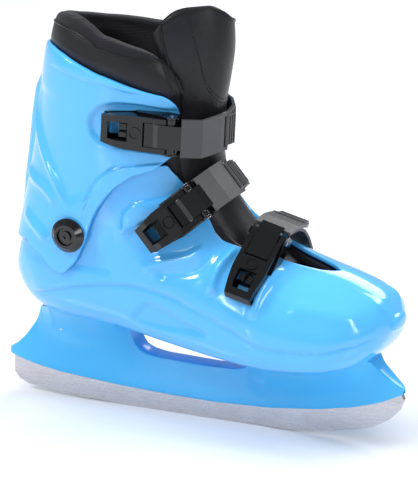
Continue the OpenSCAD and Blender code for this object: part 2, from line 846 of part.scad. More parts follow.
module ladder(b) {
    color(strap_grey)
        in_plane(b[0], b[1])
            difference() {
                union() {
                    across(strap_width - 6)
                        strip(b[5], ladder_thickness);
                    across(strap_width - 10)
                        teeth(b[5]);
                }
                translate([b[6][0], b[6][1], 0])
                    rotate([90, 0, b[6][2]])
                        cylinder(r = 2.6, h = 20, center = true, $fn = round_fn);
            }
}

module ladder_screw(b) {
    color(steel)
        in_plane(b[0], b[1])
            translate([b[6][0], b[6][1], 0])
                rotate([-90, 0, b[6][2]]) {
                    translate([0, 0, -5])
                        cylinder(r = 2.5, h = 7, $fn = round_fn);
                    translate([0, 0, 1.6])
                        cylinder(r = 4.5, h = 1.8, $fn = round_fn);
                }
}

ANKLE = [[0, 0, 209], -3, [-5, -42.6], 12,
    [[3, -44.6], [15, -38], [19.6, -20], [20.2, -16]],
    [[14.5, -24], [16.6, -12], [16.8, 0], [14.4, 13], [7, 26], [-5.4, 37], [-20, 43.5], [-33, 47]],
    [-28, 45.6, -15],
    [[6, 6.5], [-6, 9], [-25, 6.5], [-lever_length, 6.4]]];
INSTEP = [[15, 0, 168], 41, [-4, -37.8], 13,
    [[3.6, -39.5], [12, -31], [13, -17], [12.8, -14]],
    [[7.8, -20], [9.1, -8], [8.4, 5], [4, 16], [-6, 26], [-18, 35], [-31, 40.6]],
    [-26, 38.5, -23],
    [[6, 6.5], [-6, 9], [-25, 8], [-lever_length, 8]]];
TOE = [[56, 0, 142], 77, [-1.54, -20.1], 47,
    [[4.7, -17.2], [5.6, -4], [3.4, 7], [2.6, 10]],
    [[0.6, -5], [-0.4, 8], [-5, 19], [-14, 30.5], [-25, 41], [-35, 48]],
    [-31, 45.2, -35],
    [[6, 6.5], [-6, 9], [-25, 8], [-lever_length, 7]]];

runner();
blade_holder();
runner_nuts();
runner_bolts();
holder_screws();
lower_shell();
cuff();
liner_foot();
liner_collar();
tongue_lower();
tongue_upper();
footbed();
pivot_bushings();
cuff_eyelets();
pivot_nuts();
pivot_caps();
pivot_screws();
base(ANKLE);  // ankle_base
rivets(ANKLE);  // ankle_rivets
lever(ANKLE);  // ankle_lever
lever_pin(ANKLE);  // ankle_lever_pin
link(ANKLE);  // ankle_link
link_pin_rod(ANKLE);  // ankle_link_pin
arm(ANKLE);  // ankle_arm
ladder(ANKLE);  // ankle_ladder
ladder_screw(ANKLE);  // ankle_ladder_screw
pawl(ANKLE);  // ankle_pawl
pawl_pin_rod(ANKLE);  // ankle_pawl_pin
base(INSTEP);  // instep_base
rivets(INSTEP);  // instep_rivets
lever(INSTEP);  // instep_lever
lever_pin(INSTEP);  // instep_lever_pin
link(INSTEP);  // instep_link
link_pin_rod(INSTEP);  // instep_link_pin
arm(INSTEP);  // instep_arm
ladder(INSTEP);  // instep_ladder
ladder_screw(INSTEP);  // instep_ladder_screw
pawl(INSTEP);  // instep_pawl
pawl_pin_rod(INSTEP);  // instep_pawl_pin
base(TOE);  // toe_base
rivets(TOE);  // toe_rivets
lever(TOE);  // toe_lever
lever_pin(TOE);  // toe_lever_pin
link(TOE);  // toe_link
link_pin_rod(TOE);  // toe_link_pin
arm(TOE);  // toe_arm
ladder(TOE);  // toe_ladder
ladder_screw(TOE);  // toe_ladder_screw
pawl(TOE);  // toe_pawl
pawl_pin_rod(TOE);  // toe_pawl_pin
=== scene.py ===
"""The looks of a hard-shell ice skate for the right foot. X to the toe, Y to the inner side, Z up, metres.

The CAD model is the frame. The shell, cuff, holder, liner and tongue are rebuilt here on finer grids from
the same base form, with relief, rounded rims, piping and stitches. The other pieces keep their CAD meshes.
Sizes of pieces are in mm, and add_mesh turns them into metres. The bends, lights and camera are in metres.
"""
import math

import bmesh
import bpy
import numpy as np
from mathutils import Matrix, Vector
from mathutils.kdtree import KDTree


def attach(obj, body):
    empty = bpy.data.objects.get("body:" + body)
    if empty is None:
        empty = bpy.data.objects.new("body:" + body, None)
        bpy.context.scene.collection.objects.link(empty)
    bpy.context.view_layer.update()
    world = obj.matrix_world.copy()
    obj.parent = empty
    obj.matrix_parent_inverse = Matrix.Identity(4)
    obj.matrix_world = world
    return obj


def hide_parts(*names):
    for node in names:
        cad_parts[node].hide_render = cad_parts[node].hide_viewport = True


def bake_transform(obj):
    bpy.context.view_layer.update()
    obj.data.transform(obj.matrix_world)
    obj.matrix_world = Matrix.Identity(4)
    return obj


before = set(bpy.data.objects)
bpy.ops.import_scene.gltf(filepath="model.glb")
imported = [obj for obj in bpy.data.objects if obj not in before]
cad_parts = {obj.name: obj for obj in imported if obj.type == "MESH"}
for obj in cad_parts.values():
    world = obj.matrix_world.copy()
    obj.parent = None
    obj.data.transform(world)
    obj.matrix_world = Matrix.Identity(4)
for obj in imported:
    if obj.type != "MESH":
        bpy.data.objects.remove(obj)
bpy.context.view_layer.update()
MM = 0.001

# ---------------------------------------------------------------- camera and lights

VIEW_AZIMUTH, VIEW_ELEVATION = 25, 18
CAMERA_DISTANCE = 4.0
PICTURE_HEIGHT = 0.3270
SENSOR = 36
AIM_RIGHT, AIM_UP = 0.0024, 0.1178


def view_axes(azimuth, elevation):
    """Right, up and forward of a camera that looks along +Y at azimuth 0, tilted down by elevation."""
    a, e = math.radians(azimuth), math.radians(elevation)
    right = Vector((math.cos(a), math.sin(a), 0))
    forward = Vector((-math.sin(a) * math.cos(e), math.cos(a) * math.cos(e), -math.sin(e)))
    return right, right.cross(forward), forward


def add_camera():
    """The scene's camera. PICTURE_HEIGHT is what it sees at its distance, in metres."""
    right, up, forward = view_axes(VIEW_AZIMUTH, VIEW_ELEVATION)
    data = bpy.data.cameras.new("camera")
    data.sensor_fit = "VERTICAL"
    data.sensor_height = SENSOR
    data.lens = SENSOR * CAMERA_DISTANCE / PICTURE_HEIGHT
    data.clip_end = 50
    cam = bpy.data.objects.new("camera", data)
    bpy.context.collection.objects.link(cam)
    cam.matrix_world = Matrix((right, up, -forward)).transposed().to_4x4()
    cam.location = right * AIM_RIGHT + up * AIM_UP - forward * CAMERA_DISTANCE
    bpy.context.scene.camera = cam


def add_area(name, place, target, size, power, glossy=True):
    """A rectangular light at a place, facing the target. Without glossy it shows in no reflection."""
    data = bpy.data.lights.new(name, "AREA")
    data.shape = "RECTANGLE"
    data.size, data.size_y = size
    data.energy = power
    light = bpy.data.objects.new(name, data)
    bpy.context.collection.objects.link(light)
    light.location = place
    light.visible_glossy = glossy
    light.rotation_euler = (Vector(target) - Vector(place)).to_track_quat("-Z", "Y").to_euler()


# ---------------------------------------------------------------- shader helpers

SOCKETS = {"ior": "IOR", "coat": "Coat Weight", "coat_rough": "Coat Roughness", "metallic": "Metallic",
           "specular": "Specular IOR Level", "sheen": "Sheen Weight", "sheen_rough": "Sheen Roughness",
           "roughness": "Roughness"}


def new_material(name, **sockets):
    """A Principled material with constants on its own sockets, its node tree and its shader node."""
    mat = bpy.data.materials.new(name)
    mat.use_nodes = True
    tree = mat.node_tree
    shader = tree.nodes["Principled BSDF"]
    for key, value in sockets.items():
        shader.inputs[SOCKETS[key]].default_value = value
    return mat, tree, shader


def noise(tree, scale, detail=3, rough=0.5, vector=None):
    """Noise from 0 to 1, in object coordinates unless it gets a vector."""
    node = tree.nodes.new("ShaderNodeTexNoise")
    node.inputs["Scale"].default_value = scale
    node.inputs["Detail"].default_value = detail
    node.inputs["Roughness"].default_value = rough
    tree.links.new(vector or object_coords(tree), node.inputs["Vector"])
    return node.outputs["Fac"]


def object_coords(tree):
    """The tree's own object coordinates, which stay with the piece."""
    for node in tree.nodes:
        if node.bl_idname == "ShaderNodeTexCoord":
            return node.outputs["Object"]
    return tree.nodes.new("ShaderNodeTexCoord").outputs["Object"]


def stretched(tree, scale):
    """Object coordinates scaled along each axis."""
    node = tree.nodes.new("ShaderNodeMapping")
    node.inputs["Scale"].default_value = scale
    tree.links.new(object_coords(tree), node.inputs["Vector"])
    return node.outputs["Vector"]


def ramp(tree, value, stops):
    """A colour that blends between two stops, each (place, colour)."""
    node = tree.nodes.new("ShaderNodeValToRGB")
    for element, (place, colour) in zip(node.color_ramp.elements, stops):
        element.position = place
        element.color = (*colour, 1)
    tree.links.new(value, node.inputs["Fac"])
    return node.outputs["Color"]


def spread(tree, value, low, high):
    """The value, from 0 to 1, mapped onto low to high."""
    node = tree.nodes.new("ShaderNodeMapRange")
    node.inputs["To Min"].default_value = low
    node.inputs["To Max"].default_value = high
    tree.links.new(value, node.inputs["Value"])
    return node.outputs["Result"]


def add_bump(tree, shader, layers):
    """Bump layers, each (height value, strength, distance in metres)."""
    normal = None
    for value, strength, distance in layers:
        node = tree.nodes.new("ShaderNodeBump")
        node.inputs["Strength"].default_value = strength
        node.inputs["Distance"].default_value = distance
        tree.links.new(value, node.inputs["Height"])
        if normal:
            tree.links.new(normal, node.inputs["Normal"])
        normal = node.outputs["Normal"]
    tree.links.new(normal, shader.inputs["Normal"])


def varied(tree, shader, fac, colour, amount):
    """Base colour that drifts by amount, darker to lighter, with the value fac."""
    dark = tuple(c * (1 - amount) for c in colour)
    light = tuple(min(c * (1 + amount), 1) for c in colour)
    tree.links.new(ramp(tree, fac, [(0.3, dark), (0.7, light)]), shader.inputs["Base Color"])


def moulded_plastic(name, colour, rough, grain=0.0, drift=0.04, coat=0.0):
    """Plastic with a slight flow in its surface, smudges in its gloss and, if asked, a fine grain."""
    mat, tree, shader = new_material(name, ior=1.5, coat=coat, coat_rough=0.05)
    varied(tree, shader, noise(tree, scale=9, detail=2), colour, drift)
    smudge = noise(tree, scale=60, detail=4, rough=0.6)
    tree.links.new(spread(tree, smudge, low=rough * 0.8, high=rough * 1.3), shader.inputs["Roughness"])
    layers = [(noise(tree, scale=35, detail=1), 0.25, 0.0006)]
    if grain:
        layers.append((noise(tree, scale=2600, detail=2, rough=0.6), grain, 0.00012))
    add_bump(tree, shader, layers)
    return mat


def leather(name, colour, rough):
    """Coated leather: soft dents under a fine grain of cells."""
    mat, tree, shader = new_material(name, ior=1.45, specular=0.35, sheen=0.03, sheen_rough=0.5)
    cells = tree.nodes.new("ShaderNodeTexVoronoi")
    cells.inputs["Scale"].default_value = 1100
    tree.links.new(object_coords(tree), cells.inputs["Vector"])
    varied(tree, shader, noise(tree, scale=40, detail=4, rough=0.6), colour, 0.25)
    wear = noise(tree, scale=150)
    tree.links.new(spread(tree, wear, low=rough * 0.85, high=rough * 1.2), shader.inputs["Roughness"])
    dents = noise(tree, scale=70)
    add_bump(tree, shader, [(dents, 0.35, 0.0012), (cells.outputs["Distance"], 0.35, 0.00015)])
    return mat


def knit(name, colour):
    """A ribbed lining fabric."""
    mat, tree, shader = new_material(name, sheen=0.12, sheen_rough=0.5, specular=0.2)
    wave = tree.nodes.new("ShaderNodeTexWave")
    wave.bands_direction = "Z"
    wave.inputs["Scale"].default_value = 320
    wave.inputs["Distortion"].default_value = 0.6
    tree.links.new(object_coords(tree), wave.inputs["Vector"])
    weave = noise(tree, scale=1800, detail=2, rough=0.6)
    varied(tree, shader, weave, colour, 0.35)
    tree.links.new(spread(tree, weave, low=0.7, high=0.95), shader.inputs["Roughness"])
    add_bump(tree, shader, [(wave.outputs["Fac"], 0.4, 0.0004), (weave, 0.5, 0.0003)])
    return mat


def metal(name, colour, rough, brushed=(1, 1, 1), pits=0.0):
    """Metal with small pits, and with lines that run across the axes brushed scales up."""
    mat, tree, shader = new_material(name, metallic=1.0)
    lines = noise(tree, scale=60, detail=4, rough=0.7, vector=stretched(tree, brushed))
    varied(tree, shader, noise(tree, scale=25), colour, 0.06)
    tree.links.new(spread(tree, lines, low=rough * 0.75, high=rough * 1.3), shader.inputs["Roughness"])
    specks = noise(tree, scale=900, detail=2)
    add_bump(tree, shader, [(lines, 0.12, 0.00008), (specks, pits + 0.02, 0.00005)])
    return mat


BLUE = (0.085, 0.47, 0.96)
shell_blue = moulded_plastic("shell_blue", BLUE, 0.13, drift=0.03, coat=0.5)
cuff_blue = moulded_plastic("cuff_blue", BLUE, 0.13, drift=0.03, coat=0.5)
holder_blue = moulded_plastic("holder_blue", (0.03, 0.44, 0.88), 0.2, drift=0.03, coat=0.3)
# Inner faces of the shell and cuff: the same blue plastic, painted much darker and matte as painted shade
# inside the shells
inner_blue_painted_shade = moulded_plastic("inner_blue_painted_shade", (0.01, 0.10, 0.42), 0.35, drift=0.05)
black_gloss = moulded_plastic("black_gloss", (0.003, 0.003, 0.004), 0.12)
strap_grey = moulded_plastic("strap_grey", (0.05, 0.05, 0.058), 0.34, grain=0.5)
ladder_grey = moulded_plastic("ladder_grey", (0.022, 0.022, 0.027), 0.45, grain=0.5)
black_leather = leather("black_leather", (0.010, 0.010, 0.014), 0.40)
tongue_leather = leather("tongue_leather", (0.011, 0.011, 0.016), 0.38)
piping = leather("piping", (0.006, 0.006, 0.008), 0.32)
lining = knit("lining", (0.012, 0.012, 0.017))
footbed_knit = knit("footbed_knit", (0.05, 0.05, 0.058))
blade_steel = metal("blade_steel", (0.50, 0.49, 0.51), 0.26, brushed=(1, 40, 30))
screw_steel = metal("screw_steel", (0.62, 0.61, 0.62), 0.25, pits=0.1)

# ---------------------------------------------------------------- the base form, as in the CAD

# Each row: the section's top or front end (x, z), its bottom or back end (x, z), half width, share of its
# height at which it is widest, roundness above and below that, and shift of its middle to the inner side
STATIONS = np.array([
    [138, 92, 138, 80, 13, 0.45, 2.0, 2.2, 6],
    [131, 103, 132, 68, 29, 0.42, 2.0, 2.8, 5],
    [119, 110, 121, 59, 39, 0.38, 2.0, 3.2, 3.5],
    [104, 116, 106, 55, 45.5, 0.36, 2.0, 3.6, 1.5],
    [85, 121, 85, 53, 49, 0.36, 2.1, 4.0, 0],
    [65, 127, 58, 52, 50, 0.37, 2.2, 4.0, -1],
    [49, 134, 25, 54, 48, 0.40, 2.3, 4.0, -1],
    [37, 142, -15, 58, 45, 0.44, 2.4, 3.8, -0.5],
    [27, 153, -60, 63, 42, 0.48, 2.4, 3.4, 0],
    [19, 166, -100, 64, 40.5, 0.50, 2.4, 3.0, 0],
    [14, 178, -124, 72, 40, 0.50, 2.4, 2.6, 0],
    [12, 190, -136, 92, 40, 0.50, 2.4, 2.4, 0],
    [11, 202, -131, 122, 40, 0.50, 2.4, 2.3, 0],
    [9, 214, -124, 152, 40, 0.50, 2.4, 2.3, 0],
    [7, 226, -118, 182, 41, 0.50, 2.4, 2.3, 0],
    [4, 238, -113, 215, 42.5, 0.50, 2.4, 2.3, 0],
    [-1, 250, -108, 248, 44, 0.50, 2.4, 2.3, 0],
    [-4, 264, -104, 262, 42, 0.50, 2.4, 2.3, 0],
    [-6, 278, -101, 274, 39, 0.50, 2.4, 2.3, 0],
    [-8, 292, -98, 286, 36, 0.50, 2.4, 2.3, 0]])
TOE_TIP = np.array([141.5, 6, 86])
SHELL_WALL, CUFF_IN, CUFF_OUT = 3.5, 1.5, 4.5


def catmull(a, b, c, d, t):
    """The point at t, from 0 at b to 1 at c, on a smooth curve through all four."""
    square, cube = 2 * a - 5 * b + 4 * c - d, 3 * b - a - 3 * c + d
    return 0.5 * (2 * b + (c - a) * t + square * t ** 2 + cube * t ** 3)


def spline(table, s):
    """Rows of the table at the places s, smoothly in between."""
    last = len(table) - 1
    i = np.clip(np.floor(s).astype(int), 0, last - 1)
    t = (s - i)[..., None]
    return catmull(table[np.maximum(i - 1, 0)], table[i], table[i + 1], table[np.minimum(i + 2, last)], t)


def signed_power(x, p):
    """The power of x's size, with x's sign."""
    return np.sign(x) * np.abs(x) ** p


def form(s, angle, off):
    """Points of the base form in mm. Angle 0 is the top or front, 90 the outer side, 180 underneath."""
    s, angle, off = np.broadcast_arrays(*(np.asarray(v, float) for v in (s, angle, off)))
    r = spline(STATIONS, s)
    top, bottom = r[..., 0:2], r[..., 2:4]
    span = np.linalg.norm(top - bottom, axis=-1)
    up = (top - bottom) / span[..., None]
    cos, sin = np.cos(np.radians(angle)), np.sin(np.radians(angle))
    power = 2 / np.where(cos > 0, r[..., 6], r[..., 7])
    u, v = signed_power(cos, power), signed_power(sin, power)
    low = span * r[..., 5]
    reach = np.where(u > 0, span - low + off, low + off) * u
    p = bottom + up * (low + reach)[..., None]
    return np.stack([p[..., 0], r[..., 8] - v * (r[..., 4] + off), p[..., 1]], -1)


def curve(table, soft):
    """A lookup in the table, straight between its points, with its corners rounded over soft."""
    xs, ys = np.array(table, float).T
    shifts = np.linspace(-1, 1, 21) * soft
    weights = 1 - (shifts / soft) ** 2

    def softened(x):
        return sum(w * np.interp(np.asarray(x) + d, xs, ys) for w, d in zip(weights, shifts)) / weights.sum()
    return softened


def folded(angle):
    """The angle with both sides counted from the front, from 0 to 180."""
    return np.where(angle > 180, 360 - angle, angle)


def smooth(x):
    """Eases from 0 to 1 as x goes from 0 to 1."""
    x = np.clip(x, 0, 1)
    return x * x * (3 - 2 * x)


# ---------------------------------------------------------------- relief on the moulded shells, in mm

def distance(p, line):
    """Distance of the points p from a line, and how far along it the nearest place is, from 0 to 1."""
    line = np.array(line, float)
    lengths = np.linalg.norm(line[1:] - line[:-1], axis=1)
    total = lengths.sum()
    best, along, before = np.full(p.shape[:-1], 1e9), np.zeros(p.shape[:-1]), 0
    for a, b, length in zip(line[:-1], line[1:], lengths):
        t = np.clip(((p - a) @ (b - a)) / length ** 2, 0, 1)
        d = np.linalg.norm(p - a - t[..., None] * (b - a), axis=-1)
        closer = d < best
        best = np.where(closer, d, best)
        along = np.where(closer, (before + t * length) / total, along)
        before += length
    return best, along


def rounded_line(points, closed=False, count=14):
    """A smooth line through the points."""
    p = np.array(points, float)
    ring = np.vstack([p[-1:], p, p[:2]]) if closed else np.vstack([2 * p[0] - p[1], p, 2 * p[-1] - p[-2]])
    out = []
    for a, b, c, d in zip(ring[:-3], ring[1:-2], ring[2:-1], ring[3:]):
        for t in np.linspace(0, 1, count, endpoint=False):
            out.append(catmull(a, b, c, d, t))
    return np.array(out if closed else out + [p[-1]])


def inside(p, ring):
    """Whether each point lies inside a closed line, by counting crossings."""
    x, y = p[..., 0], p[..., 1]
    odd = np.zeros(p.shape[:-1], bool)
    for a, b in zip(ring, np.roll(ring, -1, axis=0)):
        crosses = (a[1] > y) != (b[1] > y)
        at = a[0] + (y - a[1]) * (b[0] - a[0]) / (b[1] - a[1] + 1e-12)
        odd ^= crosses & (x < at)
    return odd


def ridge(p, points, height, width, ends=0.18):
    """A rounded ridge along a line, that fades out over a share of its length at both ends."""
    d, along = distance(p, rounded_line(points))
    fade = smooth(along / ends) * smooth((1 - along) / ends)
    return height * np.exp(-(d / width) ** 2) * fade


STEP_WIDTH = 1.2


def crease(p, points, height, width, ends=0.15):
    """A step along a line: raised on the line's left, fading away from it."""
    line = rounded_line(points)
    d, along = distance(p, line)
    i = np.clip((along * (len(line) - 1)).astype(int), 0, len(line) - 2)
    way = line[i + 1] - line[i]
    rel = p - line[i]
    side = np.sign(way[..., 0] * rel[..., 1] - way[..., 1] * rel[..., 0])
    fade = smooth(along / ends) * smooth((1 - along) / ends)
    near = smooth((side * d + STEP_WIDTH / 2) / STEP_WIDTH)
    return height * near * np.exp(-(np.maximum(d, 0) / width) ** 2) * fade


def plateau(p, points, height, edge):
    """A raised or sunk area inside a closed line, with an edge of the given width."""
    ring = rounded_line(points, closed=True)
    d, _ = distance(p, np.vstack([ring, ring[:1]]))
    signed = np.where(inside(p, ring), d, -d)
    return height * smooth((signed + edge / 2) / edge)


def bulge(p, points, height):
    """A swelling inside a closed line, highest along its middle."""
    ring = rounded_line(points, closed=True)
    d, _ = distance(p, np.vstack([ring, ring[:1]]))
    deep = d[inside(p, ring)].max() if inside(p, ring).any() else 1
    return np.where(inside(p, ring), height * np.sqrt(np.clip(1 - (1 - d / deep) ** 2, 0, 1)), 0)


# ---------------------------------------------------------------- mesh helpers

def add_mesh(name, points, faces, material, smooth_shading=True, metres=False):
    """An object from points in mm and faces."""
    mesh = bpy.data.meshes.new(name)
    scaled = np.asarray(points, float) * (1 if metres else MM)
    mesh.from_pydata(scaled.tolist(), [], [tuple(int(i) for i in f) for f in faces])
    bm = bmesh.new()
    bm.from_mesh(mesh)
    bmesh.ops.remove_doubles(bm, verts=bm.verts, dist=1e-7)
    bmesh.ops.recalc_face_normals(bm, faces=bm.faces)
    bm.to_mesh(mesh)
    bm.free()
    for poly in mesh.polygons:
        poly.use_smooth = smooth_shading
    obj = bpy.data.objects.new(name, mesh)
    bpy.context.collection.objects.link(obj)
    obj.data.materials.append(material)
    return obj


# A row whose two ends are nearer than this, in mm, is a closed ring
CLOSED_ROW = 1e-4


def solid_sheet(name, outer, inner, material, inner_material, tips=None):
    """A closed sheet between two grids of points, with flat rims. With tips, its first rows close there.
    A row whose two ends meet is a closed ring, and has no rim between them."""
    rows, cols = outer.shape[:2]
    index = np.arange(rows * cols).reshape(rows, cols)
    base = rows * cols
    quads = np.stack([index[:-1, :-1], index[:-1, 1:], index[1:, 1:], index[1:, :-1]], -1).reshape(-1, 4)
    faces = [quads, quads[:, ::-1] + base]
    apart = np.linalg.norm(outer[:, 0] - outer[:, -1], axis=-1) > CLOSED_ROW
    walled = apart[:-1] | apart[1:]
    edges = [(index[-1], slice(None)), (index[:, 0], walled), (index[:, -1], walled)]
    edges += [] if tips is not None else [(index[0], slice(None))]
    for line, kept in edges:
        faces.append(np.stack([line[:-1], line[1:], line[1:] + base, line[:-1] + base], -1)[kept])
    points = np.vstack([outer.reshape(-1, 3), inner.reshape(-1, 3)])
    faces = [tuple(f) for part in faces for f in part]
    if tips is not None:
        points = np.vstack([points, tips])
        for j in range(cols - 1):
            faces.append((index[0, j], index[0, j + 1], 2 * base))
            faces.append((index[0, j] + base, index[0, j + 1] + base, 2 * base + 1))
    obj = add_mesh(name, points, faces, material)
    obj.data.materials.append(inner_material)
    return obj


def paint_near(obj, points, tolerance=0.4):
    """Gives the object's second material to the faces whose corners all lie within the tolerance, in mm,
    of the points."""
    flat = points.reshape(-1, 3) * MM
    tree = KDTree(len(flat))
    for i, p in enumerate(flat):
        tree.insert(p, i)
    tree.balance()
    near = np.array([tree.find(v.co)[2] < tolerance * MM for v in obj.data.vertices])
    for poly in obj.data.polygons:
        if near[list(poly.vertices)].all():
            poly.material_index = 1


CORD_SIDES = 10
CORD_END = 0.4
ASIDE = (0.31, 0.17, 0.93)


def loop_faces(rows, cols):
    """The indices of a grid whose rows are closed loops, and the four-sided faces between its rows."""
    index = np.arange(rows * cols).reshape(rows, cols)
    nxt = np.roll(index, -1, axis=1)
    return index, np.stack([index[:-1], nxt[:-1], nxt[1:], index[1:]], -1).reshape(-1, 4).tolist()


def tube(line, radius):
    """Points and faces of a round cord along a line, narrower at its two ends. ASIDE is a direction that
    no line here follows."""
    line = np.asarray(line, float)
    way = np.gradient(line, axis=0)
    way /= np.linalg.norm(way, axis=1, keepdims=True) + 1e-9
    side = np.cross(way, ASIDE)
    side /= np.linalg.norm(side, axis=1, keepdims=True) + 1e-9
    up = np.cross(way, side)
    turn = np.linspace(0, 2 * math.pi, CORD_SIDES, endpoint=False)[None, :, None]
    taper = np.ones(len(line))
    taper[[0, -1]] = CORD_END
    around = np.cos(turn) * side[:, None] + np.sin(turn) * up[:, None]
    ring = line[:, None] + radius * taper[:, None, None] * around
    index, faces = loop_faces(len(line), CORD_SIDES)
    faces += [index[0][::-1].tolist(), index[-1].tolist()]
    return ring.reshape(-1, 3), faces


def piped(name, lines, radius, material):
    """One object of several cords."""
    points, faces, before = [], [], 0
    for line in lines:
        ring, quads = tube(line, radius)
        faces += [[i + before for i in face] for face in quads]
        points.append(ring)
        before += len(ring)
    return add_mesh(name, np.vstack(points), faces, material)


def stitched(line, length=2.4, gap=1.1):
    """Short pieces of a line, with gaps between them."""
    step = np.linalg.norm(np.diff(line, axis=0), axis=1)
    along = np.concatenate([[0], np.cumsum(step)])
    starts = np.arange(gap, along[-1] - length, length + gap)
    places = [np.linspace(a, a + length, 5) for a in starts]
    return [np.stack([np.interp(t, along, line[:, k]) for k in range(3)], -1) for t in places]


RIM_RADIUS = 1.2
RIM_PLACES = np.array([0, 0.06, 0.2, 0.45, 0.75, 1])


def rim_steps(count, length, radius=RIM_RADIUS):
    """Places from 0 to 1 along a line of that length, close together within the radius of both ends."""
    near = radius / length * RIM_PLACES
    middle = np.linspace(near[-1], 1 - near[-1], count)
    return np.concatenate([near[:-1], middle, 1 - near[::-1][1:]])


def eased(distance_to_edge, radius):
    """How far a surface drops towards an edge that is rounded with the radius."""
    d = np.clip(distance_to_edge, 0, radius)
    return radius - np.sqrt(radius ** 2 - (radius - d) ** 2)


def run_lengths(grid, axis):
    """Distance in mm of each grid point from the start and from the end of its column (0) or row (1)."""
    gap = np.linalg.norm(np.diff(grid, axis=axis), axis=-1)
    pad = [(0, 0), (0, 0)]
    pad[axis] = (1, 0)
    total = np.pad(np.cumsum(gap, axis=axis), pad)
    return total, np.take(total, [-1], axis=axis) - total


def edge_distance(grid, open_start):
    """Distance in mm of each grid point from the nearest edge. The first row is an edge if open_start."""
    left, right = run_lengths(grid, 1)
    start, finish = run_lengths(grid, 0)
    ends = np.minimum(left, right)
    return np.minimum(ends, np.minimum(start, finish) if open_start else finish)


def even_angles(s, edge, count, radius=RIM_RADIUS):
    """Angles from edge to 360 - edge, evenly spaced along the row's surface, closer at its ends."""
    dense = np.linspace(edge, 360 - edge, 1441)
    line = form(s, dense, 0)
    length = np.concatenate([[0], np.cumsum(np.linalg.norm(np.diff(line, axis=0), axis=1))])
    return np.interp(rim_steps(count, length[-1], radius) * length[-1], length, dense)


# ---------------------------------------------------------------- foot shell

# The station behind which the shell and the liner are open on top, and the angle of the shell's edge there
THROAT_START = 3.3
throat_edge = curve([[0, 0], [THROAT_START, 0], [3.5, 5], [3.8, 9], [4.3, 12], [5, 15], [5.5, 18], [6, 23],
                     [6.5, 28], [7, 33.5], [7.4, 38], [7.8, 38.5], [8.3, 36], [9, 36], [10, 38], [11, 45],
                     [11.8, 52], [12, 62], [12.4, 100], [13, 145]], 0.12)

# Lines of the relief, seen from the side (x, z)
LEAF = [(-42, 137), (-43, 147), (-37, 155), (-26, 160), (-12, 163), (-2, 165), (-8, 158), (-18, 150),
        (-30, 143)]
WEDGE_RIDGE = [(-28, 111), (-17, 119), (-5, 122), (8, 126), (18, 134)]
WEDGE_HOLLOW = [(-14, 114), (2, 117), (14, 121), (22, 128), (16, 116), (2, 111), (-10, 109)]
REAR_WING = [(27, 103), (26, 113), (30, 125), (37, 134)]
FRONT_WING = [(58, 92), (59, 103), (63, 115), (69, 124)]
TOE_CAP = [(90, 117), (103, 114), (116, 109), (127, 103), (135, 94), (138, 86)]
TOE_RIDGE = [(78, 101), (96, 100), (112, 97), (129, 93)]
RAND = [(-118, 80), (-98, 87), (-76, 94), (-45, 100), (-16, 100), (13, 93), (42, 83), (63, 75), (96, 74),
        (120, 79), (137, 84)]
ARCH = [(-34, 77), (-26, 88), (-17, 90), (2, 83), (22, 76), (0, 74), (-20, 74)]
RELIEF = 1.6


def shell_relief(p, angle):
    """Relief of the foot shell, alike on both sides except at the buckles. It fades out along the top,
    and behind, where the cuff hides the shell."""
    xz = p[..., [0, 2]]
    outer_side = p[..., 1] < 0
    flank = smooth((folded(angle) - 18) / 14)
    both = (crease(xz, RAND, height=0.9, width=26, ends=0.05)
            - ridge(xz, RAND, height=0.5, width=1.6, ends=0.04)
            + crease(xz, TOE_CAP, height=0.9, width=30, ends=0.25)
            + ridge(xz, TOE_RIDGE, height=1.1, width=5)
            - plateau(xz, ARCH, height=1.3, edge=5))
    outer = (bulge(xz, LEAF, height=2.6)
             + ridge(xz, WEDGE_RIDGE, height=1.8, width=3.2)
             - plateau(xz, WEDGE_HOLLOW, height=0.9, edge=5)
             + ridge(xz, REAR_WING, height=2.4, width=3.0)
             + ridge(xz, FRONT_WING, height=2.2, width=3.0))
    hidden = smooth((-48 - p[..., 0]) / 6) * smooth((p[..., 2] - 104) / 6)
    return RELIEF * (both + np.where(outer_side, outer, 0)) * flank * (1 - hidden)


# The toe's stations over which an inner surface is set back, and about how far apart in mm they are
SETBACK_STATIONS, STATION_LENGTH = 3, 8
CAP_TURNS = np.radians([3, 8, 16, 26, 38, 52, 68])
CAP_REACH = np.array([1, 1, 0.6])


def toe_cap_rows(ring, tip):
    """Rows that close a ring onto the tip in a rounded cap."""
    centre = ring.mean(axis=0)
    return np.stack([centre + (ring - centre) * math.sin(t) + (tip - centre) * CAP_REACH * math.cos(t)
                     for t in CAP_TURNS])


def toe_setback(s, off):
    """How much further back, in stations, a surface with that offset lies at the toe."""
    return np.maximum(0, 1 - s / SETBACK_STATIONS) * np.abs(off) / STATION_LENGTH


def foot_grid(off, stations, relief=None):
    """Rows of a surface with that offset from the base form, from the toe back."""
    rows = []
    for s in stations:
        angles = even_angles(s, float(throat_edge(s)), SHELL_COLUMNS)
        place = s + toe_setback(s, off)
        plain = form(place, angles, off)
        rows.append(form(place, angles, off + relief(plain, angles)) if relief else plain)
    return np.stack(rows)


def round_edges(outer, inner, radius, open_start):
    """Draws the outer and inner grids together towards their open edges, which rounds the rim."""
    d = edge_distance(outer, open_start)
    drop = eased(d, radius)[..., None]
    way = inner - outer
    way /= np.linalg.norm(way, axis=-1, keepdims=True) + 1e-9
    return outer + way * drop, inner - way * drop * 0.9


SHELL_COLUMNS = 170
SHELL_STATIONS = np.concatenate([np.linspace(0, THROAT_START, 50), np.linspace(3.34, 12.8, 150),
                                 [12.9, 12.95, 12.98, 13]])
TOE_TIP_INNER = TOE_TIP - [4, 0, 0]


